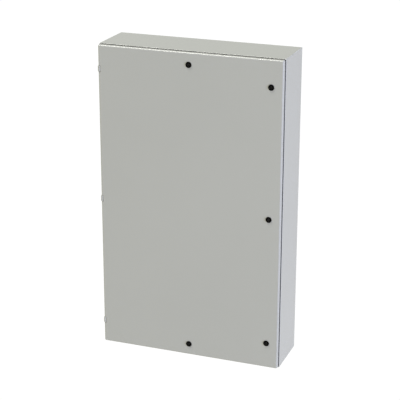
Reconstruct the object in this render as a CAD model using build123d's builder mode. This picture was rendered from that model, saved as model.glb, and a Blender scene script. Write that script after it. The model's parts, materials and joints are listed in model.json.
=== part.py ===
"""Wall-mounted sheet-steel electrical enclosure, 60 x 36 x 10 in (1524 x 914.4 x 254 mm body).

Left-hinged flanged door, five quarter-turn latches, an equipment sub-panel on collar studs.
Frame: +X right, +Y towards the wall, +Z up; the origin is the centre of the back face, on the wall.
Every size is in millimetres.
"""
from build123d import *
import os

# ------------------------------------------------------------------ driving sizes
body_w = 914.4            # overall width of the body (36 in)
body_h = 1524.0           # overall height of the body (60 in)
body_d = 254.0            # depth of the body, wall to front flange (10 in)
sheet_t = 1.9             # 14 gauge steel sheet
bend_r = 3.5              # outside radius of every body bend
back_return = 16.0        # wrapper's return along the back, to the back sheet's seam
flange_w = 34.0           # front flange, from the side to the inner face of its lip
corner_r = 2.5            # ground corners between the side sheets

door_gap = 6.0            # between the door's edge and the body's front flange
door_inset = 3.0          # door edge inside the body's outline
door_depth = 19.5         # door's front face to the rear of its return flanges
door_bend_r = 7.0         # outside radius of the door's bends
door_corner_r = 7.5
gasket_w = 13.0
gasket_t = 8.5
gasket_in = 24.0          # from the door's edge to the gasket
lip_clear = 0.3           # lip to gasket
edge_seal_w = 9.0         # foam strip on the body's flange, behind the door's edge
edge_seal_t = 5.1
edge_seal_out = 1.9       # seal proud of the door's edge
edge_seal_break = 28.0    # half length of its breaks, at the hinges

hinge_z = (644.5, 0.0, -644.5)    # heights of the three hinges
hinge_in = 3.5            # hinge axis, inside the door's left edge
hinge_back = 6.0          # hinge axis, behind the door's front face
knuckle_r = 7.0
knuckle_h = 14.5          # half height of a whole hinge barrel
knuckle_round = 2.5       # rounded ends of the barrel
pin_r = 3.0
leaf_t = 2.0              # body leaf
door_leaf_t = 2.5
notch_half_h = 15.7       # notch in the door's edge round the barrel
notch_in = 11.2

latch_in = 60.0           # latch axes, from the body's edge
latch_side_end = 130.0    # end latches on the opening side, from top and bottom
latch_hole_r = 11.25
latch_flange_r = 14.5
latch_flange_t = 2.4
latch_seal_t = 0.8
latch_barrel_r = 11.0
latch_bore_r = 8.0
latch_bore_rear_r = 6.0
latch_run = 0.08          # radial running clearance of the spindle
latch_nut_af = 27.0
latch_nut_t = 6.0
cam_clear = 1.2           # cam to the inside of the body's flange
cam_t = 3.0
cam_reach = 45.0
square_w = 7.9            # square end of the spindle

panel_w = 838.2           # equipment sub-panel (33 x 57 in), 12 gauge
panel_h = 1447.8
panel_t = 2.7
panel_face = 28.0         # sub-panel's front face, from the wall
panel_flange = 12.0
stud_r = 4.75             # 3/8 in panel stud
stud_x = 393.7
stud_z = (698.5, 0.0, -698.5)
stud_len = 45.0
collar_r = 8.0

wall_hole_r = 5.56        # 7/16 in mounting holes
wall_hole_x = 863.6       # 34 in
wall_hole_z = 1473.2      # 58 in

stiffener_x = 200.0
stiffener_half = 25.0
stiffener_web = 13.0
stiffener_rise = 18.0
stiffener_h = 1320.0

pocket_w = 305.0
pocket_t = 2.5
pocket_depth = 31.6       # from the door skin to the pocket's front
pocket_bottom = -250.0
pocket_back_top = 60.0
pocket_front_top = 0.0

ground_r = 3.175          # 1/4 in ground studs
ground_len = 25.0

# ------------------------------------------------------------------ derived places
half_w, half_h = body_w / 2, body_h / 2
flange_y = -body_d                                # front plane of the body's flange
face_y = flange_y - door_gap - door_depth         # door's front face
skin_y = face_y + sheet_t                         # inside of the door's skin
door_rear_y = flange_y - door_gap
door_w, door_h = body_w - 2 * door_inset, body_h - 2 * door_inset
door_left = -half_w + door_inset
lip_y = skin_y + gasket_t + lip_clear             # free edge of the body's lip
axis_x = door_left + hinge_in
axis_y = face_y + hinge_back
cam_plane = flange_y + sheet_t + cam_clear - face_y       # front face of the cam, behind the door's face
latch_barrel_len = cam_plane - 0.3                        # rear end of the latch barrel
latch_places = {
    # name: (x, z, direction of the cam when it is turned clear of the flange)
    "top": (0.0, half_h - latch_in, 180.0),
    "upper": (half_w - latch_in, half_h - latch_side_end, 90.0),
    "middle": (half_w - latch_in, 0.0, 90.0),
    "lower": (half_w - latch_in, -half_h + latch_side_end, 90.0),
    "bottom": (0.0, -half_h + latch_in, 0.0),
}

os.makedirs("parts", exist_ok=True)


def save(part, name):
    part.label = name
    export_step(part, f"parts/{name}.step")


# ------------------------------------------------------------------ body sheets
# Four folded side sheets, mitred and seam-welded at the corners. Each runs from a
# return along the back, forward along the side, in along the front flange, and
# forward again as the lip that meets the door's gasket, so it forms a trough.
side_sheets = {
    "body_left_side": (
        Plane(origin=(-half_w, 0, -half_h), x_dir=(1, 0, 0), z_dir=(0, 0, 1)),
        body_h,
        [(-half_w, -half_h), (-half_w, half_h), (-half_w + 60, half_h - 60), (-half_w + 60, -half_h + 60)],
    ),
    "body_right_side": (
        Plane(origin=(half_w, 0, half_h), x_dir=(-1, 0, 0), z_dir=(0, 0, -1)),
        body_h,
        [(half_w, half_h), (half_w, -half_h), (half_w - 60, -half_h + 60), (half_w - 60, half_h - 60)],
    ),
    "body_top": (
        Plane(origin=(-half_w, 0, half_h), x_dir=(0, 0, -1), z_dir=(1, 0, 0)),
        body_w,
        [(-half_w, half_h), (half_w, half_h), (half_w - 60, half_h - 60), (-half_w + 60, half_h - 60)],
    ),
    "body_bottom": (
        Plane(origin=(half_w, 0, -half_h), x_dir=(0, 0, 1), z_dir=(-1, 0, 0)),
        body_w,
        [(half_w, -half_h), (-half_w, -half_h), (-half_w + 60, -half_h + 60), (half_w - 60, -half_h + 60)],
    ),
}
rivet_z = 19.0            # hinge rivets, above and below each hinge
rivet_x = -half_w + 18.0
for sheet_name, (sheet_plane, sheet_len, mitre_points) in side_sheets.items():
    with BuildPart() as side_sheet:
        with BuildSketch(sheet_plane):
            with BuildLine():
                FilletPolyline(
                    (back_return, -sheet_t / 2),
                    (sheet_t / 2, -sheet_t / 2),
                    (sheet_t / 2, flange_y + sheet_t / 2),
                    (flange_w - sheet_t / 2, flange_y + sheet_t / 2),
                    (flange_w - sheet_t / 2, lip_y),
                    radius=bend_r - sheet_t / 2,
                )
            trace(line_width=sheet_t)
        extrude(amount=sheet_len)
        with BuildSketch(Plane.XZ):
            with BuildLine():
                Polyline(*mitre_points, close=True)
            make_face()
            RectangleRounded(body_w, body_h, corner_r, mode=Mode.INTERSECT)
        extrude(amount=body_d + 60, both=True, mode=Mode.INTERSECT)
        if sheet_name == "body_left_side":
            # rivet holes for the hinge leaves
            with Locations(*[(rivet_x, flange_y + sheet_t / 2, z + s * rivet_z) for z in hinge_z for s in (-1, 1)]):
                Cylinder(radius=2.55, height=sheet_t * 3, rotation=(90, 0, 0), mode=Mode.SUBTRACT)
    save(side_sheet.part, sheet_name)

# Back sheet with the four wall-mounting holes.
with BuildPart() as back_sheet:
    with BuildSketch(Plane.XZ):
        Rectangle(body_w - 2 * back_return, body_h - 2 * back_return)
        with GridLocations(wall_hole_x, wall_hole_z, 2, 2):
            Circle(wall_hole_r, mode=Mode.SUBTRACT)
    extrude(amount=sheet_t)
save(back_sheet.part, "body_back")

# ------------------------------------------------------------------ sub-panel and its studs
stud_places = [(s * stud_x, z) for z in stud_z for s in (-1, 1)]
panel_front_y = -panel_face
panel_rear_y = panel_front_y + panel_t

with BuildPart() as sub_panel:
    with BuildSketch(Plane.XZ.offset(-panel_front_y)):
        RectangleRounded(panel_w, panel_h, 5.0)
    extrude(amount=-(panel_t + panel_flange))
    fillet(sub_panel.faces().sort_by(Axis.Y)[0].edges(), radius=3.5)
    with BuildSketch(Plane.XZ.offset(-panel_rear_y)):
        RectangleRounded(panel_w - 2 * panel_t, panel_h - 2 * panel_t, 2.3)
    extrude(amount=-(panel_flange + 1), mode=Mode.SUBTRACT)
    with Locations(*[(x, panel_front_y + panel_t / 2, z) for x, z in stud_places]):
        Cylinder(radius=5.55, height=panel_t * 3, rotation=(90, 0, 0), mode=Mode.SUBTRACT)
save(sub_panel.part, "sub_panel")

with BuildPart() as panel_studs:
    for x, z in stud_places:
        with BuildSketch(Plane(origin=(x, 0, z), x_dir=(1, 0, 0), z_dir=(0, 0, 1))):
            with BuildLine():
                Polyline(
                    (0, -sheet_t), (collar_r, -sheet_t), (collar_r, panel_rear_y),
                    (stud_r, panel_rear_y), (stud_r, -stud_len + 1.2), (stud_r - 1.2, -stud_len),
                    (0, -stud_len), close=True,
                )
            make_face()
        revolve(axis=Axis((x, 0, z), (0, 1, 0)))
save(panel_studs.part, "panel_collar_studs")

washer_t = 1.6
with BuildPart() as panel_washers:
    for x, z in stud_places:
        with BuildSketch(Plane(origin=(x, panel_front_y, z), x_dir=(1, 0, 0), z_dir=(0, -1, 0))):
            Circle(11.0)
            Circle(5.1, mode=Mode.SUBTRACT)
        extrude(amount=washer_t)
save(panel_washers.part, "panel_washers")

nut_y = panel_front_y - washer_t
with BuildPart() as panel_nut_shape:
    for x, z in stud_places:
        with BuildSketch(Plane(origin=(x, nut_y, z), x_dir=(1, 0, 0), z_dir=(0, 0, 1))):
            with BuildLine():
                Polyline((0, 0), (7.2, 0), (8.3, -0.9), (8.3, -7.4), (7.2, -8.3), (0, -8.3), close=True)
            make_face()
        revolve(axis=Axis((x, 0, z), (0, 1, 0)))
with BuildPart() as panel_nuts:
    for x, z in stud_places:
        with BuildSketch(Plane(origin=(x, nut_y, z), x_dir=(1, 0, 0), z_dir=(0, -1, 0))):
            RegularPolygon(radius=7.15, side_count=6, major_radius=False)
            Circle(4.8, mode=Mode.SUBTRACT)
        extrude(amount=8.3)
    add(panel_nut_shape.part, mode=Mode.INTERSECT)
save(panel_nuts.part, "panel_nuts")

# ------------------------------------------------------------------ body ground stud, on the left side's inside
ground_x0 = -half_w + sheet_t
ground_y, ground_z = -150.0, -640.0
with BuildPart() as body_ground_stud:
    with BuildSketch(Plane(origin=(ground_x0, ground_y, ground_z), x_dir=(0, 1, 0), z_dir=(1, 0, 0))):
        Circle(ground_r)
    extrude(amount=ground_len)
    chamfer(body_ground_stud.faces().sort_by(Axis.X)[-1].edges(), length=0.8)
save(body_ground_stud.part, "body_ground_stud")
with BuildPart() as body_terminal_stud:
    with BuildSketch(Plane(origin=(ground_x0, ground_y, ground_z + 45.0), x_dir=(0, 1, 0), z_dir=(1, 0, 0))):
        Circle(ground_r)
    extrude(amount=ground_len)
    chamfer(body_terminal_stud.faces().sort_by(Axis.X)[-1].edges(), length=0.8)
save(body_terminal_stud.part, "body_terminal_stud")
with BuildPart() as body_ground_washer:
    with BuildSketch(Plane(origin=(ground_x0, ground_y, ground_z), x_dir=(0, 1, 0), z_dir=(1, 0, 0))):
        Circle(8.0)
        Circle(ground_r + 0.15, mode=Mode.SUBTRACT)
    extrude(amount=1.5)
save(body_ground_washer.part, "body_ground_washer")
with BuildPart() as body_ground_nut_shape:
    with BuildSketch(Plane(origin=(ground_x0 + 1.5, ground_y, ground_z), x_dir=(1, 0, 0), z_dir=(0, 0, 1))):
        with BuildLine():
            Polyline((0, 0), (0, 5.6), (0.7, 6.4), (4.9, 6.4), (5.6, 5.6), (5.6, 0), close=True)
        make_face()
    revolve(axis=Axis((0, ground_y, ground_z), (1, 0, 0)))
with BuildPart() as body_ground_nut:
    with BuildSketch(Plane(origin=(ground_x0 + 1.5, ground_y, ground_z), x_dir=(0, 1, 0), z_dir=(1, 0, 0))):
        RegularPolygon(radius=5.55, side_count=6, major_radius=False)
        Circle(ground_r + 0.03, mode=Mode.SUBTRACT)
    extrude(amount=5.6)
    add(body_ground_nut_shape.part, mode=Mode.INTERSECT)
save(body_ground_nut.part, "body_ground_nut")

# ------------------------------------------------------------------ hinges, three
# Body leaf: a plate riveted in the trough, an arm forward through the door's notch, and the lower knuckle.
leaf_front_y = flange_y - leaf_t
with BuildPart() as hinge_body_leaves:
    for z in hinge_z:
        with BuildSketch(Plane.XZ.offset(-flange_y)):
            with Locations((-half_w + 14.5, z)):
                RectangleRounded(25.0, 52.0, 3.0)
            with Locations((rivet_x, z - rivet_z), (rivet_x, z + rivet_z)):
                Circle(2.55, mode=Mode.SUBTRACT)
        extrude(amount=leaf_t)
        with BuildSketch(Plane.XY.offset(z - knuckle_h + knuckle_round)):
            with Locations((-half_w + 2.0 + 1.75, (axis_y + flange_y - leaf_t + 1) / 2)):
                Rectangle(3.5, flange_y - leaf_t + 1 - axis_y)
        extrude(amount=knuckle_h - knuckle_round - 0.6)
        with BuildSketch(Plane(origin=(axis_x, axis_y, z), x_dir=(1, 0, 0), z_dir=(0, -1, 0))):
            with BuildLine():
                Polyline((knuckle_r, -knuckle_h + knuckle_round), (knuckle_r, -0.6), (0, -0.6), (0, -knuckle_h), (knuckle_r - knuckle_round, -knuckle_h))
                CenterArc((knuckle_r - knuckle_round, -knuckle_h + knuckle_round), knuckle_round, -90, 90)
            make_face()
        revolve(axis=Axis((axis_x, axis_y, 0), (0, 0, 1)))
        with BuildSketch(Plane.XY.offset(z - knuckle_h)):
            with Locations((axis_x, axis_y)):
                Circle(pin_r)
        extrude(amount=knuckle_h, mode=Mode.SUBTRACT)
save(hinge_body_leaves.part, "hinge_body_leaves")

with BuildPart() as hinge_pins:
    for z in hinge_z:
        with BuildSketch(Plane(origin=(axis_x, axis_y, z - knuckle_h), x_dir=(1, 0, 0), z_dir=(0, -1, 0))):
            with BuildLine():
                Polyline((0, 0), (pin_r, 0), (pin_r, knuckle_h + 10.5), (pin_r - 1.5, knuckle_h + 12.0), (0, knuckle_h + 12.0), close=True)
            make_face()
        revolve(axis=Axis((axis_x, axis_y, 0), (0, 0, 1)))
save(hinge_pins.part, "hinge_pins")

with BuildPart() as hinge_washers:
    for z in hinge_z:
        with BuildSketch(Plane.XY.offset(z - 0.6)):
            with Locations((axis_x, axis_y)):
                Circle(knuckle_r - 0.4)
                Circle(pin_r + 0.1, mode=Mode.SUBTRACT)
        extrude(amount=1.1)
save(hinge_washers.part, "hinge_washers")

with BuildPart() as hinge_rivets:
    for z in hinge_z:
        for s in (-1, 1):
            with BuildSketch(Plane(origin=(rivet_x, flange_y, z + s * rivet_z), x_dir=(1, 0, 0), z_dir=(0, 0, 1))):
                with BuildLine():
                    shank = Polyline(
                        (0, sheet_t + 1.6), (4.0, sheet_t + 1.6), (4.0, sheet_t), (2.5, sheet_t),
                        (2.5, -leaf_t), (4.6, -leaf_t),
                    )
                    head = RadiusArc((4.6, -leaf_t), (0, -leaf_t - 2.2), (4.6**2 + 2.2**2) / 4.4)
                    Line(head @ 1, shank @ 0)
                make_face()
            revolve(axis=Axis((rivet_x, 0, z + s * rivet_z), (0, 1, 0)))
save(hinge_rivets.part, "hinge_rivets")

# Door leaf: a plate on two weld studs inside the door, and the upper knuckle, closed at its top.
door_leaf_x = door_left + notch_in + 0.5
door_stud_x = door_leaf_x + 5.9
door_stud_z = 21.0
with BuildPart() as hinge_door_leaves:
    for z in hinge_z:
        with BuildSketch(Plane.XZ.offset(-skin_y)):
            with Locations((door_leaf_x + 5.9, z)):
                RectangleRounded(11.8, 56.0, 2.5)
            with Locations((door_stud_x, z - door_stud_z), (door_stud_x, z + door_stud_z)):
                Circle(2.6, mode=Mode.SUBTRACT)
        extrude(amount=-door_leaf_t)
        with BuildSketch(Plane.XY.offset(z + 0.6)):
            with Locations(((axis_x + door_leaf_x + 2) / 2, skin_y + door_leaf_t / 2)):
                Rectangle(door_leaf_x + 2 - axis_x, door_leaf_t)
        extrude(amount=knuckle_h - knuckle_round - 0.6)
        with BuildSketch(Plane(origin=(axis_x, axis_y, z), x_dir=(1, 0, 0), z_dir=(0, -1, 0))):
            with BuildLine():
                Polyline((knuckle_r, knuckle_h - knuckle_round), (knuckle_r, 0.6), (0, 0.6), (0, knuckle_h), (knuckle_r - knuckle_round, knuckle_h))
                CenterArc((knuckle_r - knuckle_round, knuckle_h - knuckle_round), knuckle_round, 0, 90)
            make_face()
        revolve(axis=Axis((axis_x, axis_y, 0), (0, 0, 1)))
        with BuildSketch(Plane.XY.offset(z + 0.6)):
            with Locations((axis_x, axis_y)):
                Circle(pin_r + 0.05)
        extrude(amount=11.9, mode=Mode.SUBTRACT)
save(hinge_door_leaves.part, "hinge_door_leaves")

door_stud_places = [(door_stud_x, z + s * door_stud_z) for z in hinge_z for s in (-1, 1)]
with BuildPart() as hinge_door_studs:
    for x, z in door_stud_places:
        with BuildSketch(Plane(origin=(x, skin_y, z), x_dir=(1, 0, 0), z_dir=(0, 1, 0))):
            Circle(2.5)
        extrude(amount=9.5)
    chamfer(hinge_door_studs.edges().filter_by(GeomType.CIRCLE).group_by(Axis.Y)[-1], length=0.6)
save(hinge_door_studs.part, "hinge_door_studs")

with BuildPart() as door_nut_shape:
    for x, z in door_stud_places:
        with BuildSketch(Plane(origin=(x, skin_y + door_leaf_t, z), x_dir=(1, 0, 0), z_dir=(0, 0, 1))):
            with BuildLine():
                Polyline((0, 0), (4.62, 0), (4.62, 3.4), (4.0, 4.0), (0, 4.0), close=True)
            make_face()
        revolve(axis=Axis((x, 0, z), (0, 1, 0)))
with BuildPart() as hinge_door_nuts:
    for x, z in door_stud_places:
        with BuildSketch(Plane(origin=(x, skin_y + door_leaf_t, z), x_dir=(1, 0, 0), z_dir=(0, 1, 0))):
            RegularPolygon(radius=4.0, side_count=6, major_radius=False)
            Circle(2.53, mode=Mode.SUBTRACT)
        extrude(amount=4.0)
    add(door_nut_shape.part, mode=Mode.INTERSECT)
save(hinge_door_nuts.part, "hinge_door_nuts")

# ------------------------------------------------------------------ door
with BuildPart() as door_hollow:
    with BuildSketch(Plane.XZ.offset(-door_rear_y)):
        RectangleRounded(door_w - 2 * sheet_t, door_h - 2 * sheet_t, door_corner_r - sheet_t)
    extrude(amount=door_depth - sheet_t)
    fillet(door_hollow.faces().sort_by(Axis.Y)[0].edges(), radius=door_bend_r - sheet_t)
with BuildPart() as door_pan:
    with BuildSketch(Plane.XZ.offset(-door_rear_y)):
        RectangleRounded(door_w, door_h, door_corner_r)
    extrude(amount=door_depth)
    fillet(door_pan.faces().sort_by(Axis.Y)[0].edges(), radius=door_bend_r)
    add(door_hollow.part, mode=Mode.SUBTRACT)
    with Locations(*[(door_left + notch_in / 2 - 2, (face_y + door_rear_y) / 2, z) for z in hinge_z]):
        Box(notch_in + 4, door_depth + 4, 2 * notch_half_h, mode=Mode.SUBTRACT)
    with Locations(*[(x, face_y + sheet_t / 2, z) for x, z, _ in latch_places.values()]):
        Cylinder(radius=latch_hole_r, height=sheet_t * 3, rotation=(90, 0, 0), mode=Mode.SUBTRACT)
save(door_pan.part, "door_pan")

with BuildPart() as door_gasket:
    with BuildSketch(Plane.XZ.offset(-skin_y)):
        RectangleRounded(door_w - 2 * gasket_in, door_h - 2 * gasket_in, 12.0)
        RectangleRounded(door_w - 2 * (gasket_in + gasket_w), door_h - 2 * (gasket_in + gasket_w), 5.0, mode=Mode.SUBTRACT)
    extrude(amount=-gasket_t)
    fillet(door_gasket.faces().sort_by(Axis.Y)[-1].edges(), radius=3.0)
save(door_gasket.part, "door_gasket")

# Edge seal: a foam strip stuck on the body's flange, just proud of the door's edge and broken at the hinge leaves.
with BuildPart() as edge_seal:
    with BuildSketch(Plane.XZ.offset(-flange_y)):
        RectangleRounded(door_w + 2 * edge_seal_out, door_h + 2 * edge_seal_out, door_corner_r + edge_seal_out)
        RectangleRounded(door_w - 2 * edge_seal_w, door_h - 2 * edge_seal_w, 1.5, mode=Mode.SUBTRACT)
        with Locations(*[(door_left + edge_seal_w / 2, z) for z in hinge_z]):
            Rectangle(edge_seal_w + 6, 2 * edge_seal_break, mode=Mode.SUBTRACT)
    extrude(amount=edge_seal_t)
save(edge_seal.part, "flange_edge_seal")

for stiffener_name, sx in (("door_stiffener_left", -stiffener_x), ("door_stiffener_right", stiffener_x)):
    with BuildPart() as stiffener:
        with BuildSketch(Plane(origin=(sx, skin_y, -stiffener_h / 2), x_dir=(1, 0, 0), z_dir=(0, 0, 1))):
            with BuildLine():
                low, high = sheet_t / 2, stiffener_rise - sheet_t / 2
                FilletPolyline(
                    (-stiffener_half, low), (-stiffener_web + sheet_t / 2, low), (-stiffener_web + sheet_t / 2, high),
                    (stiffener_web - sheet_t / 2, high), (stiffener_web - sheet_t / 2, low), (stiffener_half, low),
                    radius=2.4,
                )
            trace(line_width=sheet_t)
        extrude(amount=stiffener_h)
    save(stiffener.part, stiffener_name)

# Document pocket: an open-topped moulded tray on the inside of the door.
pocket_front_y = skin_y + pocket_depth
with BuildPart() as data_pocket:
    with BuildSketch(Plane.XZ.offset(-skin_y)):
        with Locations((0, (pocket_back_top + pocket_bottom) / 2)):
            RectangleRounded(pocket_w, pocket_back_top - pocket_bottom, 8.0)
    extrude(amount=-pocket_depth)
    with BuildSketch(Plane.XZ.offset(-(skin_y + pocket_t))):
        with Locations((0, (pocket_back_top + 40 + pocket_bottom + pocket_t) / 2)):
            RectangleRounded(pocket_w - 2 * pocket_t, pocket_back_top + 40 - pocket_bottom - pocket_t, 5.5)
    extrude(amount=-(pocket_depth - 2 * pocket_t), mode=Mode.SUBTRACT)
    # the front panel is lower than the back, with sloping shoulders down the sides
    with BuildSketch(Plane.YZ):
        with BuildLine():
            Polyline(
                (skin_y + pocket_t, pocket_back_top + 5), (pocket_front_y + 5, pocket_back_top + 5),
                (pocket_front_y + 5, pocket_front_top), (pocket_front_y - pocket_t, pocket_front_top),
                (skin_y + pocket_t, pocket_back_top - 6), close=True,
            )
        make_face()
    extrude(amount=pocket_w, both=True, mode=Mode.SUBTRACT)
    # thumb notch in the front panel
    with BuildSketch(Plane.XZ.offset(-(pocket_front_y + 1))):
        with Locations((0, pocket_front_top)):
            SlotOverall(110.0, 50.0)
    extrude(amount=pocket_t * 2, mode=Mode.SUBTRACT)
    # holes for the weld studs
    with Locations(*[(x, skin_y + pocket_t / 2, z) for x in (-130.0, 130.0) for z in (38.0, -225.0)]):
        Cylinder(radius=2.1, height=pocket_t * 3, rotation=(90, 0, 0), mode=Mode.SUBTRACT)
save(data_pocket.part, "data_pocket")

pocket_studs_at = [(x, z) for x in (-130.0, 130.0) for z in (38.0, -225.0)]
with BuildPart() as pocket_studs:
    for x, z in pocket_studs_at:
        with BuildSketch(Plane(origin=(x, skin_y, z), x_dir=(1, 0, 0), z_dir=(0, 1, 0))):
            Circle(2.0)
        extrude(amount=5.5)
save(pocket_studs.part, "pocket_studs")
with BuildPart() as pocket_push_nuts:
    for x, z in pocket_studs_at:
        with BuildSketch(Plane(origin=(x, skin_y + pocket_t, z), x_dir=(1, 0, 0), z_dir=(0, 0, 1))):
            with BuildLine():
                Polyline((2.03, 0), (6.5, 0), (6.5, 0.6), (3.6, 1.8), (2.03, 1.8), close=True)
            make_face()
        revolve(axis=Axis((x, 0, z), (0, 1, 0)))
save(pocket_push_nuts.part, "pocket_push_nuts")

# Door ground stud
dg_x, dg_z = -330.0, -640.0
with BuildPart() as door_ground_stud:
    with BuildSketch(Plane(origin=(dg_x, skin_y, dg_z), x_dir=(1, 0, 0), z_dir=(0, 1, 0))):
        Circle(ground_r)
    extrude(amount=ground_len)
    chamfer(door_ground_stud.faces().sort_by(Axis.Y)[-1].edges(), length=0.8)
save(door_ground_stud.part, "door_ground_stud")
with BuildPart() as door_ground_washer:
    with BuildSketch(Plane(origin=(dg_x, skin_y, dg_z), x_dir=(1, 0, 0), z_dir=(0, 1, 0))):
        Circle(8.0)
        Circle(ground_r + 0.15, mode=Mode.SUBTRACT)
    extrude(amount=1.5)
save(door_ground_washer.part, "door_ground_washer")
with BuildPart() as door_ground_nut_shape:
    with BuildSketch(Plane(origin=(dg_x, skin_y + 1.5, dg_z), x_dir=(1, 0, 0), z_dir=(0, 0, 1))):
        with BuildLine():
            Polyline((0, 0), (5.6, 0), (6.4, 0.7), (6.4, 4.9), (5.6, 5.6), (0, 5.6), close=True)
        make_face()
    revolve(axis=Axis((dg_x, 0, dg_z), (0, 1, 0)))
with BuildPart() as door_ground_nut:
    with BuildSketch(Plane(origin=(dg_x, skin_y + 1.5, dg_z), x_dir=(1, 0, 0), z_dir=(0, 1, 0))):
        RegularPolygon(radius=5.55, side_count=6, major_radius=False)
        Circle(ground_r + 0.03, mode=Mode.SUBTRACT)
    extrude(amount=5.6)
    add(door_ground_nut_shape.part, mode=Mode.INTERSECT)
save(door_ground_nut.part, "door_ground_nut")

# ------------------------------------------------------------------ latches: fixed pieces
with BuildPart() as latch_housings:
    for x, z, _ in latch_places.values():
        with BuildSketch(Plane(origin=(x, face_y, z), x_dir=(1, 0, 0), z_dir=(0, 0, 1))):
            with BuildLine():
                front = -latch_seal_t - latch_flange_t
                Polyline(
                    (latch_bore_r + 0.6, front), (latch_flange_r - 1.4, front), (latch_flange_r, front + 1.2),
                    (latch_flange_r, -latch_seal_t), (latch_barrel_r, -latch_seal_t),
                    (latch_barrel_r, latch_barrel_len - 0.8), (latch_barrel_r - 0.8, latch_barrel_len),
                    (latch_bore_rear_r, latch_barrel_len), (latch_bore_rear_r, 12.0),
                    (latch_bore_r, 12.0), (latch_bore_r, front + 0.6), close=True,
                )
            make_face()
        revolve(axis=Axis((x, 0, z), (0, 1, 0)))
save(latch_housings.part, "latch_housings")

with BuildPart() as latch_seals:
    for x, z, _ in latch_places.values():
        with BuildSketch(Plane(origin=(x, face_y, z), x_dir=(1, 0, 0), z_dir=(0, -1, 0))):
            Circle(latch_flange_r - 0.5)
            Circle(latch_barrel_r + 0.1, mode=Mode.SUBTRACT)
        extrude(amount=latch_seal_t)
save(latch_seals.part, "latch_seals")

with BuildPart() as latch_nut_shape:
    for x, z, _ in latch_places.values():
        with BuildSketch(Plane(origin=(x, skin_y, z), x_dir=(1, 0, 0), z_dir=(0, 0, 1))):
            with BuildLine():
                Polyline((0, 0), (15.6, 0), (15.6, latch_nut_t - 1.0), (13.6, latch_nut_t), (0, latch_nut_t), close=True)
            make_face()
        revolve(axis=Axis((x, 0, z), (0, 1, 0)))
with BuildPart() as latch_nuts:
    for x, z, _ in latch_places.values():
        with BuildSketch(Plane(origin=(x, skin_y, z), x_dir=(1, 0, 0), z_dir=(0, 1, 0))):
            RegularPolygon(radius=latch_nut_af / 2, side_count=6, major_radius=False)
            Circle(latch_barrel_r + 0.05, mode=Mode.SUBTRACT)
        extrude(amount=latch_nut_t)
    add(latch_nut_shape.part, mode=Mode.INTERSECT)
save(latch_nuts.part, "latch_nuts")

# ------------------------------------------------------------------ latches: turning pieces, one set per latch
# The cam points along `turn` (degrees from +X towards +Z) at rest, clear of the flange.
head_front = -2.4          # front of the key insert, relative to the door's face
for latch_name, (lx, lz, turn) in latch_places.items():
    turned = Plane(origin=(lx, face_y, lz), x_dir=Vector(1, 0, 0).rotate(Axis((0, 0, 0), (0, -1, 0)), turn), z_dir=(0, -1, 0))
    latch_axis = Axis((lx, 0, lz), (0, 1, 0))
    with BuildPart() as spindle:
        with BuildSketch(Plane(origin=(lx, face_y, lz), x_dir=(1, 0, 0), z_dir=(0, 0, 1))):
            with BuildLine():
                Polyline(
                    (0, head_front), (latch_bore_r - latch_run - 0.4, head_front), (latch_bore_r - latch_run, head_front + 0.4),
                    (latch_bore_r - latch_run, 11.9), (latch_bore_rear_r - latch_run, 11.9), (latch_bore_rear_r - latch_run, cam_plane),
                    (0, cam_plane), close=True,
                )
            make_face()
        revolve(axis=latch_axis)
        # square end for the cam
        with BuildSketch(turned.offset(-cam_plane)):
            Rectangle(square_w, square_w)
        extrude(amount=-(cam_t - 0.2))
        # double-bit key recess: a post with two wings in a round pocket
        with BuildSketch(turned.offset(-head_front)):
            Circle(6.6)
            Circle(2.4, mode=Mode.SUBTRACT)
            Rectangle(9.4, 2.8, mode=Mode.SUBTRACT)
        extrude(amount=-9.0, mode=Mode.SUBTRACT)
        with BuildSketch(turned.offset(-head_front)):
            Circle(6.6)
        extrude(amount=-0.6, mode=Mode.SUBTRACT)
        # thread for the cam screw
        with BuildSketch(turned.offset(-(cam_plane + cam_t))):
            Circle(2.5)
        extrude(amount=13.0, mode=Mode.SUBTRACT)
    save(spindle.part, f"latch_{latch_name}_spindle")

    with BuildPart() as cam:
        with BuildSketch(turned.offset(-cam_plane)):
            Circle(11.0)
            with Locations((cam_reach - 8.0, 0)):
                Circle(8.0)
            make_hull()
            Rectangle(square_w + 0.2, square_w + 0.2, mode=Mode.SUBTRACT)
        extrude(amount=-cam_t)
    save(cam.part, f"latch_{latch_name}_cam")

    with BuildPart() as screw:
        with BuildSketch(Plane(origin=(lx, face_y + cam_plane + cam_t, lz), x_dir=(1, 0, 0), z_dir=(0, 0, 1))):
            with BuildLine():
                Polyline(
                    (0, -12.0), (2.45, -12.0), (2.45, 0), (7.5, 0), (7.5, 0.9), (4.9, 1.3), (4.9, 4.2), (4.3, 4.8),
                    (0, 4.8), close=True,
                )
            make_face()
        revolve(axis=latch_axis)
        # hexagon socket
        with BuildSketch(turned.offset(-(cam_plane + cam_t + 4.8))):
            RegularPolygon(radius=2.0, side_count=6, major_radius=False)
        extrude(amount=2.8, mode=Mode.SUBTRACT)
    save(screw.part, f"latch_{latch_name}_screw")
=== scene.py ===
"""Looks of the wall-mounted electrical enclosure: finishes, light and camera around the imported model."""
import json
import math
import random

import bmesh
import bpy
from mathutils import Matrix, Vector


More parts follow.
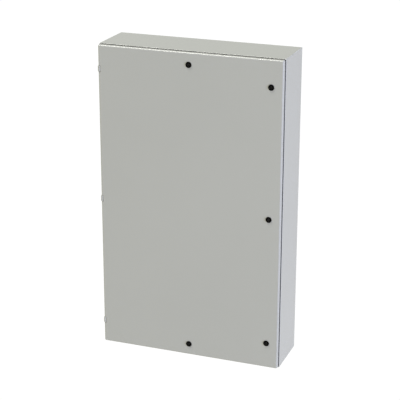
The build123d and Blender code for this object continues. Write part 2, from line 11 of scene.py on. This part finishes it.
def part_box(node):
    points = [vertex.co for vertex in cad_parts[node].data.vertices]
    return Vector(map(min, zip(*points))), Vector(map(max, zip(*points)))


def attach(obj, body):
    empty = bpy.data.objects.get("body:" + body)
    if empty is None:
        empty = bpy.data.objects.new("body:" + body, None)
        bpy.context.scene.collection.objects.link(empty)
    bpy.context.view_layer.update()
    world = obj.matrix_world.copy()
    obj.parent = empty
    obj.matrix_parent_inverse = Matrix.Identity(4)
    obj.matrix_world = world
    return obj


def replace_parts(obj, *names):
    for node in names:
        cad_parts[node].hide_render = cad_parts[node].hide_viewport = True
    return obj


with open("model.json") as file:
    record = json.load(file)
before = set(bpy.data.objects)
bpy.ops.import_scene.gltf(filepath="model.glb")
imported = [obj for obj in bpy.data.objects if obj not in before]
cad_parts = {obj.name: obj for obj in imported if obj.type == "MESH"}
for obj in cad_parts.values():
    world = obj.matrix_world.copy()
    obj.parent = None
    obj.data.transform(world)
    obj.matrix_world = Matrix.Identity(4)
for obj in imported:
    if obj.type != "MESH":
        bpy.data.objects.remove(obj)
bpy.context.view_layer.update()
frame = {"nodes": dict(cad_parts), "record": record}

nodes = frame["nodes"]
scene = bpy.context.scene


# ---------------------------------------------------------------- node helpers
def new_material(name):
    mat = bpy.data.materials.new(name)
    mat.use_nodes = True
    tree = mat.node_tree
    for n in list(tree.nodes):
        tree.nodes.remove(n)
    out = tree.nodes.new("ShaderNodeOutputMaterial")
    bsdf = tree.nodes.new("ShaderNodeBsdfPrincipled")
    tree.links.new(bsdf.outputs["BSDF"], out.inputs["Surface"])
    coords = tree.nodes.new("ShaderNodeTexCoord")
    return mat, tree, bsdf, coords.outputs["Object"]


def noise(tree, vector, scale, detail=2.0, rough=0.5):
    n = tree.nodes.new("ShaderNodeTexNoise")
    n.inputs["Scale"].default_value = scale
    n.inputs["Detail"].default_value = detail
    n.inputs["Roughness"].default_value = rough
    tree.links.new(vector, n.inputs["Vector"])
    return n.outputs["Fac"]


def ramp(tree, fac, *stops):
    n = tree.nodes.new("ShaderNodeValToRGB")
    els = n.color_ramp.elements
    while len(els) > 1:
        els.remove(els[-1])
    els[0].position, els[0].color = stops[0][0], (*stops[0][1], 1.0)
    for at, colour in stops[1:]:
        e = els.new(at)
        e.color = (*colour, 1.0)
    tree.links.new(fac, n.inputs["Fac"])
    return n.outputs["Color"]


def spread(tree, fac, low, high, at=(0.3, 0.7)):
    n = tree.nodes.new("ShaderNodeMapRange")
    n.inputs["From Min"].default_value, n.inputs["From Max"].default_value = at
    n.inputs["To Min"].default_value, n.inputs["To Max"].default_value = low, high
    tree.links.new(fac, n.inputs["Value"])
    return n.outputs["Result"]


def bump(tree, height, distance, strength=1.0, after=None):
    n = tree.nodes.new("ShaderNodeBump")
    n.inputs["Strength"].default_value = strength
    n.inputs["Distance"].default_value = distance
    tree.links.new(height, n.inputs["Height"])
    if after is not None:
        tree.links.new(after, n.inputs["Normal"])
    return n.outputs["Normal"]


def shade(colour, k):
    return tuple(min(1.0, c * k) for c in colour)


def powder_coat(name, colour, rough, peel=0.00005, spec=0.5):
    """Baked powder: a faint orange peel, a very slow waviness of the sheet, and slight tone and gloss variation."""
    mat, tree, bsdf, at = new_material(name)
    slow = noise(tree, at, 1.7, 3.0)
    bsdf_colour = ramp(tree, slow, (0.3, shade(colour, 0.985)), (0.5, colour), (0.7, shade(colour, 1.012)))
    tree.links.new(bsdf_colour, bsdf.inputs["Base Color"])
    gloss = noise(tree, at, 60.0, 4.0)
    tree.links.new(spread(tree, gloss, rough - 0.02, rough + 0.02), bsdf.inputs["Roughness"])
    wave = bump(tree, noise(tree, at, 2.6, 1.0), 0.0012, 0.35)
    peel_n = bump(tree, noise(tree, at, 520.0, 2.0, 0.45), peel, 1.0, wave)
    tree.links.new(peel_n, bsdf.inputs["Normal"])
    bsdf.inputs["Specular IOR Level"].default_value = spec
    return mat


def metal(name, colour, rough, scratch=(1.0, 1.0, 1.0), mottle=0.05):
    mat, tree, bsdf, at = new_material(name)
    mapping = tree.nodes.new("ShaderNodeMapping")
    mapping.inputs["Scale"].default_value = scratch
    tree.links.new(at, mapping.inputs["Vector"])
    grain = noise(tree, mapping.outputs["Vector"], 900.0, 3.0)
    cloud = noise(tree, at, 90.0, 3.0)
    tree.links.new(ramp(tree, cloud, (0.3, shade(colour, 1 - mottle)), (0.7, shade(colour, 1 + mottle))), bsdf.inputs["Base Color"])
    tree.links.new(spread(tree, grain, rough - 0.08, rough + 0.08), bsdf.inputs["Roughness"])
    tree.links.new(bump(tree, grain, 0.00002, 0.6), bsdf.inputs["Normal"])
    bsdf.inputs["Metallic"].default_value = 1.0
    return mat


def plastic(name, colour, rough, texture_scale, depth, spec=0.5, tone=0.08):
    mat, tree, bsdf, at = new_material(name)
    cloud = noise(tree, at, 40.0, 3.0)
    tree.links.new(ramp(tree, cloud, (0.3, shade(colour, 1 - tone)), (0.7, shade(colour, 1 + tone))), bsdf.inputs["Base Color"])
    tex = noise(tree, at, texture_scale, 3.0, 0.6)
    tree.links.new(spread(tree, tex, rough - 0.05, rough + 0.05), bsdf.inputs["Roughness"])
    tree.links.new(bump(tree, tex, depth, 0.8), bsdf.inputs["Normal"])
    bsdf.inputs["Specular IOR Level"].default_value = spec
    return mat


grey_colour = (0.472, 0.478, 0.442)
materials = {
    "light_grey_powder_coat": powder_coat("light_grey_powder_coat", grey_colour, 0.23, spec=0.72),
    "white_powder_coat": powder_coat("white_powder_coat", (0.80, 0.80, 0.775), 0.30),
    "zinc_plated_steel": metal("zinc_plated_steel", (0.70, 0.715, 0.73), 0.30),
    "stainless_steel": metal("stainless_steel", (0.60, 0.60, 0.585), 0.26, (1.0, 1.0, 6.0)),
    "black_die_cast": plastic("black_die_cast", (0.0014, 0.0014, 0.0014), 0.55, 900.0, 0.00005, 0.04),
    # Near-black foam for the poured door gasket. The same finish also covers the edge seal strip in the door gap, where
    # its near-black stands in for the gap's shade: painted shade.
    "foam_seal": plastic("foam_seal", (0.038, 0.038, 0.039), 0.90, 1100.0, 0.00035, 0.1, 0.2),
    "nitrile_rubber": plastic("nitrile_rubber", (0.012, 0.012, 0.012), 0.6, 500.0, 0.00004, 0.3),
    "nylon": plastic("nylon", (0.76, 0.75, 0.70), 0.4, 300.0, 0.00003, 0.5, 0.03),
    "grey_moulded_plastic": plastic("grey_moulded_plastic", (0.28, 0.285, 0.285), 0.5, 600.0, 0.00008, 0.4, 0.04),
}
insert_finish = plastic("black_key_insert", (0.017, 0.017, 0.0155), 0.42, 700.0, 0.00004, 0.25)
for part in frame["record"]["subparts"]:
    o = nodes[part["node"]]
    o.data.materials.clear()
    finish = insert_finish if part["node"].endswith("_spindle") else materials[part["material_slot"]]
    o.data.materials.append(finish)


# ---------------------------------------------------------------- modelled pieces
mm = 0.001


class Shell:
    """Vertices and faces of one piece, gathered from several closed surfaces; sizes are in millimetres."""

    def __init__(self):
        self.verts, self.faces = [], []

    def grid(self, rows, wrap_rows=False, cap=True):
        """Skin rings of equal length; each ring is closed. Without wrap_rows both ends get a fan cap."""
        start, n = len(self.verts), len(rows[0])
        for row in rows:
            self.verts.extend(tuple(c * mm for c in p) for p in row)
        count = len(rows)
        for i in range(count if wrap_rows else count - 1):
            a, b = start + i * n, start + ((i + 1) % count) * n
            for j in range(n):
                k = (j + 1) % n
                self.faces.append((a + j, a + k, b + k, b + j))
        if cap and not wrap_rows:
            for ring, flip in ((0, True), (count - 1, False)):
                pts = rows[ring]
                centre = tuple(sum(p[c] for p in pts) / n * mm for c in range(3))
                self.verts.append(centre)
                mid, base = len(self.verts) - 1, start + ring * n
                for j in range(n):
                    k = (j + 1) % n
                    self.faces.append((mid, base + k, base + j) if flip else (mid, base + j, base + k))

    def piece(self, name, slot, body, angle=40.0):
        mesh = bpy.data.meshes.new(name)
        mesh.from_pydata(self.verts, [], self.faces)
        work = bmesh.new()
        work.from_mesh(mesh)
        bmesh.ops.recalc_face_normals(work, faces=work.faces)
        work.to_mesh(mesh)
        work.free()
        for p in mesh.polygons:
            p.use_smooth = True
        mesh.set_sharp_from_angle(angle=math.radians(angle))
        mesh.materials.append(materials[slot])
        o = bpy.data.objects.new(name, mesh)
        scene.collection.objects.link(o)
        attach(o, body)
        return o


def wander(seed, waves=5):
    """A smooth seeded wobble between about -1 and 1, for a hand-made unevenness."""
    dice = random.Random(seed)
    parts = [(dice.uniform(0.6, 1.0) / (k + 1) ** 0.5, dice.uniform(0.6, 1.4) * (k + 1), dice.uniform(0, 6.28)) for k in range(waves)]
    total = sum(p[0] for p in parts)
    return lambda t: sum(a * math.sin(f * t + ph) for a, f, ph in parts) / total


def across(axis):
    axis = Vector(axis).normalized()
    u = axis.orthogonal().normalized()
    return axis, u, axis.cross(u)


def turned(shell, base, axis, profile, steps=48, ripple=None):
    """Revolve (radius, height) pairs; radius may be changed by ripple(angle, index)."""
    axis, u, v = across(axis)
    base = Vector(base)
    rows = []
    for i, (r, h) in enumerate(profile):
        row = []
        for j in range(steps):
            t = 2 * math.pi * j / steps
            q = r + (ripple(t, i) if ripple else 0.0)
            row.append(tuple(base + axis * h + (u * math.cos(t) + v * math.sin(t)) * q))
        rows.append(row)
    shell.grid(rows)


def threaded(shell, base, axis, length, radius, pitch, point=0.8, start=0.0, steps=28, per_turn=8):
    """A rod with a rolled 60 degree helical thread, a plain start and a chamfered point."""
    axis, u, v = across(axis)
    base = Vector(base)
    depth = 0.58 * pitch
    count = max(4, int(round(length / pitch * per_turn)))
    rows = []
    for i in range(count + 1):
        h = length * i / count
        row = []
        for j in range(steps):
            t = 2 * math.pi * j / steps
            phase = (h / pitch - j / steps) % 1.0
            off = abs(phase - 0.5) * 2.0
            cut = min(1.0, max(0.0, (off - 0.14) / 0.64))
            fade = min(1.0, max(0.0, (h - start) / (1.2 * pitch)))
            r = radius - depth * cut * fade
            r = min(r, radius - point + (length - h))
            row.append(tuple(base + axis * h + (u * math.cos(t) + v * math.sin(t)) * r))
        rows.append(row)
    shell.grid(rows)


half_w, half_h = 457.2, 762.0
sheet = 1.9
skin_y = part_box("door_gasket")[0].y / mm          # inside of the door's skin
ground_x = -half_w + sheet

# Panel studs: a smooth collar, then a 3/8-16 thread.
studs, flash = Shell(), Shell()
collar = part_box("panel_collar_studs")
stud_tip, washer_box = collar[0].y / mm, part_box("panel_washers")
panel_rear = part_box("sub_panel")[0].y / mm + 2.7
stud_places = [(x, z) for x in (-393.7, 393.7) for z in (698.5, 0.0, -698.5)]
for n, (x, z) in enumerate(stud_places):
    base = (x, -sheet, z)
    long = -sheet - panel_rear
    turned(studs, base, (0, -1, 0), [(8.0, 0), (8.0, long - 0.7), (7.3, long), (4.4, long)])
    threaded(studs, (x, panel_rear + 0.6, z), (0, -1, 0), panel_rear + 0.6 - stud_tip, 4.7, 1.5875, 1.2, 0.8)
    bump_at = wander(11 + n)
    turned(flash, base, (0, -1, 0), [(9.3, -0.1), (9.15, 0.35), (8.75, 0.85), (8.2, 1.1), (7.8, 1.15)], 40,
           lambda t, i, w=bump_at: 0.28 * w(t * 3) if i < 4 else 0.0)
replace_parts(studs.piece("panel_collar_studs_threaded", "zinc_plated_steel", "cabinet"), "panel_collar_studs")

# Ground and terminal studs, 1/4-20.
for name, body, base, axis in (
    ("body_ground_stud", "cabinet", (ground_x, -150.0, -640.0), (1, 0, 0)),
    ("body_terminal_stud", "cabinet", (ground_x, -150.0, -595.0), (1, 0, 0)),
    ("door_ground_stud", "door", (-330.0, skin_y, -640.0), (0, 1, 0)),
):
    rod = Shell()
    threaded(rod, base, axis, 25.0, 3.14, 1.27, 0.8, 1.2)
    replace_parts(rod.piece(name + "_threaded", "zinc_plated_steel", body), name)
bump_at = wander(31)
turned(flash, (ground_x, -150.0, -595.0), (1, 0, 0), [(4.4, -0.05), (4.25, 0.35), (3.8, 0.75), (3.3, 0.85), (3.0, 0.85)], 32,
       lambda t, i: 0.22 * bump_at(t * 3) if i < 4 else 0.0)
flash.piece("stud_weld_flash", "light_grey_powder_coat", "cabinet")

# Hinge studs on the door, M5.
leaf_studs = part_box("hinge_door_studs")
stud_x = (leaf_studs[0].x + leaf_studs[1].x) / 2 / mm
rods = Shell()
for z in (644.5, 0.0, -644.5):
    for s in (-21.0, 21.0):
        threaded(rods, (stud_x, skin_y, z + s), (0, 1, 0), 9.5, 2.48, 0.8, 0.6, 0.5, 24)
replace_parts(rods.piece("hinge_door_studs_threaded", "zinc_plated_steel", "door"), "hinge_door_studs")

# Gasket: foam poured in one run round the door, crowned, a little uneven, with the small swelling where the run meets its start.
low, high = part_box("door_gasket")
gx, gz = high.x / mm - 6.5, high.z / mm - 6.5
corner = 9.0
path = []
for cx, cz, a0 in ((gx - corner, gz - corner, 0), (-gx + corner, gz - corner, 90), (-gx + corner, -gz + corner, 180), (gx - corner, -gz + corner, 270)):
    for k in range(9):
        a = math.radians(a0 + 90 * k / 8)
        path.append((cx + corner * math.cos(a), cz + corner * math.sin(a), math.cos(a), math.sin(a)))
run = []
for i, (x, z, nx, nz) in enumerate(path):
    run.append((x, z, nx, nz))
    x2, z2, nx2, nz2 = path[(i + 1) % len(path)]
    span = math.hypot(x2 - x, z2 - z)
    if span > 20:
        parts = int(span / 6)
        for k in range(1, parts):
            f = k / parts
            run.append((x + (x2 - x) * f, z + (z2 - z) * f, nx, nz))
section = [(-6.4, 0.0), (-6.45, 0.95), (-6.2, 2.75), (-5.5, 4.9), (-4.3, 6.6), (-2.6, 7.75), (-0.9, 8.2),
           (0.9, 8.2), (2.6, 7.75), (4.3, 6.6), (5.5, 4.9), (6.2, 2.75), (6.45, 0.95), (6.4, 0.0)]
wave_h, wave_l, wave_r = wander(3, 7), wander(5, 9), wander(7, 9)
rows, total = [], len(run)
meet = min(range(total), key=lambda i: math.hypot(run[i][0] - 120.0, run[i][1] + gz))
for i, (x, z, nx, nz) in enumerate(run):
    t = i * 2 * math.pi / total
    gap = min(abs(i - meet), total - abs(i - meet))
    blob = math.exp(-(gap / 2.2) ** 2)
    tall = 0.985 + 0.012 * wave_h(30 * t) + 0.012 * blob
    row = []
    for off, h in section:
        edge = 0.18 * (wave_l(40 * t) if off < 0 else wave_r(40 * t)) * (1 if abs(off) > 4 else 0.3)
        off = off * (0.965 + 0.03 * blob) + edge
        row.append((x + nx * off, skin_y + h * tall, z + nz * off))
    rows.append(row)
bead = Shell()
bead.grid(rows, wrap_rows=True)
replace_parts(bead.piece("door_gasket_poured", "foam_seal", "door", 70), "door_gasket")

# Spot welds: the ring that the electrode leaves on the stiffeners' flanges.
spots = Shell()
for sx in (-200.0, 200.0):
    for off in (-19.0, 19.0):
        for k in range(13):
            z = -630.0 + 105.0 * k
            turned(spots, (sx + off, skin_y + sheet, z), (0, 1, 0),
                   [(3.7, -0.05), (3.5, 0.10), (3.1, 0.22), (2.6, 0.16), (2.2, 0.04), (1.2, 0.02), (0.3, 0.03)], 28)
spots.piece("stiffener_spot_welds", "light_grey_powder_coat", "door", 60)


def weld_bead(shell, start, end, side_a, side_b, leg, pitch=2.3, seed=1, lift=0.0):
    """A fillet weld with its ripples, laid in the corner between two faces."""
    start, end = Vector(start), Vector(end)
    a, b = Vector(side_a), Vector(side_b)
    span = (end - start).length
    along = (end - start) / span
    count = int(span / (pitch / 4))
    wob = wander(seed, 8)
    rows = []
    for i in range(count + 1):
        h = span * i / count
        phase = (h / pitch) % 1.0
        full = leg * (1.0 + 0.10 * (phase - 0.5) + 0.05 * wob(h * 0.11))
        close = min(1.0, (min(h, span - h) + 0.6) / 3.0) ** 0.5
        row = []
        for k in range(7):
            f = k / 6
            crown = 0.5 + (0.16 + 0.07 * phase) * math.sin(math.pi * f)
            row.append(tuple(start + along * (h + 0.9 * math.sin(math.pi * f)) + (a * (1 - f) + b * f) * full * close * crown * 2 * (0.5 + 0.0 * f)))
        row.append(tuple(start + along * h - (a + b) * 0.15))
        rows.append(row)
    shell.grid(rows)


welds = Shell()
for sx in (-1, 1):
    for sz in (-1, 1):
        corner_at = (sx * (half_w - sheet), sz * (half_h - sheet))
        weld_bead(welds, (corner_at[0], -6.0, corner_at[1]), (corner_at[0], -249.0, corner_at[1]), (-sx, 0, 0), (0, 0, -sz), 4.2, seed=40 + sx + 3 * sz)


def seam_bead(shell, start, end, across_dir, up_dir, width=4.6, height=0.8, pitch=2.1, seed=1):
    """A low rippled bead along a butt seam."""
    start, end = Vector(start), Vector(end)
    a, u = Vector(across_dir), Vector(up_dir)
    span = (end - start).length
    along = (end - start) / span
    count = int(span / (pitch / 3))
    wob = wander(seed, 9)
    rows = []
    for i in range(count + 1):
        h = span * i / count
        phase = (h / pitch) % 1.0
        close = min(1.0, (min(h, span - h) + 0.5) / 3.0) ** 0.5
        half = width / 2 * (1.0 + 0.06 * wob(h * 0.07)) * close
        tall = height * (0.85 + 0.3 * phase + 0.08 * wob(h * 0.05 + 3)) * close
        row = []
        for k in range(7):
            f = math.pi * k / 6
            row.append(tuple(start + along * (h + 0.8 * math.sin(f)) + a * half * math.cos(f) + u * tall * math.sin(f)))
        row.append(tuple(start + along * h - u * 0.1))
        rows.append(row)
    shell.grid(rows)


seam_x, seam_z = half_w - 16.0, half_h - 16.0
for s in (-1, 1):
    seam_bead(welds, (s * seam_x, -sheet, -seam_z), (s * seam_x, -sheet, seam_z), (1, 0, 0), (0, -1, 0), seed=60 + s)
    seam_bead(welds, (-seam_x, -sheet, s * seam_z), (seam_x, -sheet, s * seam_z), (0, 0, 1), (0, -1, 0), seed=70 + s)
welds.piece("body_weld_beads", "light_grey_powder_coat", "cabinet", 50)

# ---------------------------------------------------------------- floor, light, camera
bpy.ops.mesh.primitive_plane_add(size=240.0, location=(0, 0, -5.0))
floor = bpy.context.object
floor.name = "floor"
mat, tree, bsdf, at = new_material("pale_floor")
mottle = noise(tree, at, 0.6, 2.0)
tree.links.new(ramp(tree, mottle, (0.3, (0.43, 0.43, 0.43)), (0.7, (0.45, 0.45, 0.45))), bsdf.inputs["Base Color"])
bsdf.inputs["Roughness"].default_value = 0.9
bsdf.inputs["Specular IOR Level"].default_value = 0.1
bsdf.inputs["Emission Color"].default_value = (1.0, 0.905, 0.52, 1)
bsdf.inputs["Emission Strength"].default_value = 0.329
glow = tree.nodes.new("ShaderNodeEmission")
glow.inputs["Color"].default_value = (1, 1, 1, 1)
glow.inputs["Strength"].default_value = 1.03
seen_floor = tree.nodes.new("ShaderNodeLightPath")
floor_mix = tree.nodes.new("ShaderNodeMixShader")
tree.links.new(seen_floor.outputs["Is Camera Ray"], floor_mix.inputs[0])
tree.links.new(bsdf.outputs["BSDF"], floor_mix.inputs[1])
tree.links.new(glow.outputs["Emission"], floor_mix.inputs[2])
tree.links.new(floor_mix.outputs["Shader"], next(n for n in tree.nodes if n.type == "OUTPUT_MATERIAL").inputs["Surface"])
floor.data.materials.append(mat)

world = bpy.data.worlds.new("studio")
scene.world = world
world.use_nodes = True
wt = world.node_tree
for n in list(wt.nodes):
    wt.nodes.remove(n)
wout = wt.nodes.new("ShaderNodeOutputWorld")
seen = wt.nodes.new("ShaderNodeBackground")
seen.inputs["Color"].default_value = (1, 1, 1, 1)
seen.inputs["Strength"].default_value = 1.03
fill = wt.nodes.new("ShaderNodeBackground")
fill.inputs["Color"].default_value = (0.957, 0.988, 1.0, 1)
fill.inputs["Strength"].default_value = 0.4655
path = wt.nodes.new("ShaderNodeLightPath")
mix = wt.nodes.new("ShaderNodeMixShader")
wt.links.new(path.outputs["Is Camera Ray"], mix.inputs[0])
wt.links.new(fill.outputs[0], mix.inputs[1])
wt.links.new(seen.outputs[0], mix.inputs[2])
wt.links.new(mix.outputs[0], wout.inputs["Surface"])


def softbox(name, at, to, size, power, colour=(1, 1, 1)):
    light = bpy.data.lights.new(name, "AREA")
    light.shape = "RECTANGLE"
    light.size, light.size_y = size
    light.energy = power
    light.color = colour
    o = bpy.data.objects.new(name, light)
    scene.collection.objects.link(o)
    o.location = at
    o.rotation_mode = "QUATERNION"
    o.rotation_quaternion = (Vector(to) - Vector(at)).to_track_quat("-Z", "Y")
    return o


softbox("right_softbox", (18.8, -6.6, 0.1), (0.2, -0.1, 0), (6.0, 3.5), 3440.0, (0.642, 0.682, 1.0))
softbox("top_softbox", (-5.3, -3.8, 14.7), (0, -0.15, 0), (6.0, 6.0), 1997.0, (1.0, 0.98, 0.924))

cam_data = bpy.data.cameras.new("camera")
cam_data.sensor_width = 36.0
cam_data.lens = 1319.92 / 400.0 * 36.0
cam_data.clip_start, cam_data.clip_end = 0.1, 200.0
cam = bpy.data.objects.new("camera", cam_data)
scene.collection.objects.link(cam)
scene.camera = cam
azimuth, elevation, roll = math.radians(20.497), math.radians(19.475), math.radians(0.098)
target = Vector((0.00463, -0.1395, 0.00217))
back = Vector((math.sin(azimuth) * math.cos(elevation), -math.cos(azimuth) * math.cos(elevation), math.sin(elevation)))
side = Vector((math.cos(azimuth), math.sin(azimuth), 0.0))
up = back.cross(side)
side, up = math.cos(roll) * side + math.sin(roll) * up, math.cos(roll) * up - math.sin(roll) * side
place = target + back * 6.37790
cam.matrix_world = Matrix((
    (side.x, up.x, back.x, place.x),
    (side.y, up.y, back.y, place.y),
    (side.z, up.z, back.z, place.z),
    (0, 0, 0, 1),
))

scene.view_settings.view_transform = "Standard"
scene.view_settings.look = "None"
